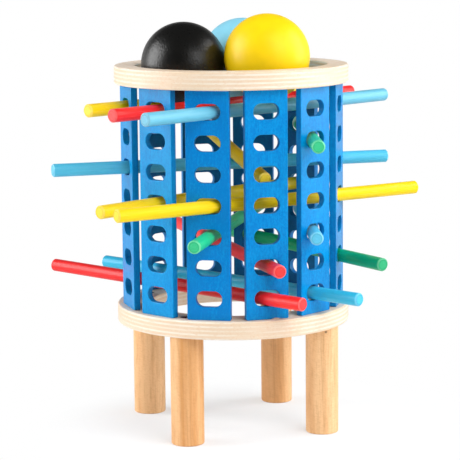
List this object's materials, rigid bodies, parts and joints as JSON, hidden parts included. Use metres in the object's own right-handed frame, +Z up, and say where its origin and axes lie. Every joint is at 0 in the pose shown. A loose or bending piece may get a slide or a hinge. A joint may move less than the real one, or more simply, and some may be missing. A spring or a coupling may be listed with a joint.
{
  "type": "marble drop stick game",
  "caption": "Wooden tower of slotted slats between two plywood rings on dowel legs; sticks through the slots hold balls at its open mouth until they are pulled out.",
  "frame": {"origin": "the tower's axis at the level of the table under the feet", "axes": "+Z up along the tower's axis, -Y the way slat 3 faces, +X to its right"},
  "size_m": [0.2409, 0.2636, 0.2564],
  "materials": {
    "plywood": "fine-sanded plywood, clear matt varnish",
    "slat_paint": "satin blue paint on plywood",
    "leg_wood": "sanded hardwood dowel, clear matt varnish",
    "screw_steel": "black countersunk wood screw",
    "stick_yellow_paint": "satin yellow paint on a dowel",
    "stick_red_paint": "satin red paint on a dowel",
    "stick_blue_paint": "satin light-blue paint on a dowel",
    "stick_green_paint": "satin green paint on a dowel",
    "ball_black_paint": "satin black paint on a wooden ball",
    "ball_yellow_paint": "satin yellow paint on a wooden ball",
    "ball_blue_paint": "satin light-blue paint on a wooden ball"
  },
  "bodies": {
    "tower": {"bottom_ring": "plywood", "leg_01": "leg_wood", "leg_02": "leg_wood", "leg_03": "leg_wood", "leg_04": "leg_wood", "leg_screws": "screw_steel", "slat_01": "slat_paint", "slat_02": "slat_paint", "slat_03": "slat_paint", "slat_04": "slat_paint", "slat_05": "slat_paint", "slat_06": "slat_paint", "slat_07": "slat_paint", "slat_08": "slat_paint", "slat_09": "slat_paint", "slat_10": "slat_paint", "slat_11": "slat_paint", "slat_12": "slat_paint", "top_ring": "plywood"},
    "stick_blue_1": {"stick_blue_1": "stick_blue_paint"},
    "stick_blue_2": {"stick_blue_2": "stick_blue_paint"},
    "stick_blue_3": {"stick_blue_3": "stick_blue_paint"},
    "stick_blue_4": {"stick_blue_4": "stick_blue_paint"},
    "stick_green_1": {"stick_green_1": "stick_green_paint"},
    "stick_green_2": {"stick_green_2": "stick_green_paint"},
    "stick_green_3": {"stick_green_3": "stick_green_paint"},
    "stick_red_1": {"stick_red_1": "stick_red_paint"},
    "stick_red_2": {"stick_red_2": "stick_red_paint"},
    "stick_red_3": {"stick_red_3": "stick_red_paint"},
    "stick_yellow_1": {"stick_yellow_1": "stick_yellow_paint"},
    "stick_yellow_2": {"stick_yellow_2": "stick_yellow_paint"},
    "stick_yellow_3": {"stick_yellow_3": "stick_yellow_paint"},
    "stick_yellow_4": {"stick_yellow_4": "stick_yellow_paint"},
    "ball_black": {"ball_black": "ball_black_paint"},
    "ball_blue": {"ball_blue": "ball_blue_paint"},
    "ball_yellow": {"ball_yellow": "ball_yellow_paint"}
  },
  "joints": [
    {"name": "stick_blue_1_pull", "type": "slide", "parent": "tower", "child": "stick_blue_1", "axis": [-0.5112, -0.8595, 0], "range_m": [0, 0.1715]},
    {"name": "stick_blue_2_pull", "type": "slide", "parent": "tower", "child": "stick_blue_2", "axis": [-0.8728, -0.4881, 0], "range_m": [0, 0.1757]},
    {"name": "stick_blue_3_pull", "type": "slide", "parent": "tower", "child": "stick_blue_3", "axis": [0.2588, -0.9659, 0], "range_m": [0, 0.198]},
    {"name": "stick_blue_4_pull", "type": "slide", "parent": "tower", "child": "stick_blue_4", "axis": [0.8648, -0.5021, 0], "range_m": [0, 0.1873]},
    {"name": "stick_green_1_pull", "type": "slide", "parent": "tower", "child": "stick_green_1", "axis": [0.2588, -0.9659, 0], "range_m": [0, 0.1857]},
    {"name": "stick_green_2_pull", "type": "slide", "parent": "tower", "child": "stick_green_2", "axis": [-0.0091, -1, 0], "range_m": [0, 0.1882]},
    {"name": "stick_green_3_pull", "type": "slide", "parent": "tower", "child": "stick_green_3", "axis": [0.7071, -0.7071, 0], "range_m": [0, 0.1762]},
    {"name": "stick_red_1_pull", "type": "slide", "parent": "tower", "child": "stick_red_1", "axis": [-0.5127, -0.8586, 0], "range_m": [0, 0.1859]},
    {"name": "stick_red_2_pull", "type": "slide", "parent": "tower", "child": "stick_red_2", "axis": [0.5042, -0.8636, 0], "range_m": [0, 0.2074]},
    {"name": "stick_red_3_pull", "type": "slide", "parent": "tower", "child": "stick_red_3", "axis": [0.8603, -0.5098, 0], "range_m": [0, 0.1948]},
    {"name": "stick_yellow_1_pull", "type": "slide", "parent": "tower", "child": "stick_yellow_1", "axis": [-0.51, -0.8602, 0], "range_m": [0, 0.1899]},
    {"name": "stick_yellow_2_pull", "type": "slide", "parent": "tower", "child": "stick_yellow_2", "axis": [-0.495, 0.8521, 0.1699], "range_m": [0, 0.1369]},
    {"name": "stick_yellow_3_pull", "type": "slide", "parent": "tower", "child": "stick_yellow_3", "axis": [-0.5055, -0.8628, 0], "range_m": [0, 0.1758]},
    {"name": "stick_yellow_4_pull", "type": "slide", "parent": "tower", "child": "stick_yellow_4", "axis": [0.7071, 0.7071, 0], "range_m": [0, 0.1627]},
    {"name": "ball_black_lift", "type": "slide", "parent": "tower", "child": "ball_black", "axis": [0, 0, 1], "range_m": [0, 0.0307]},
    {"name": "ball_blue_lift", "type": "slide", "parent": "tower", "child": "ball_blue", "axis": [0, 0, 1], "range_m": [0, 0.0307]},
    {"name": "ball_yellow_lift", "type": "slide", "parent": "tower", "child": "ball_yellow", "axis": [0, 0, 1], "range_m": [0, 0.0307]}
  ]
}
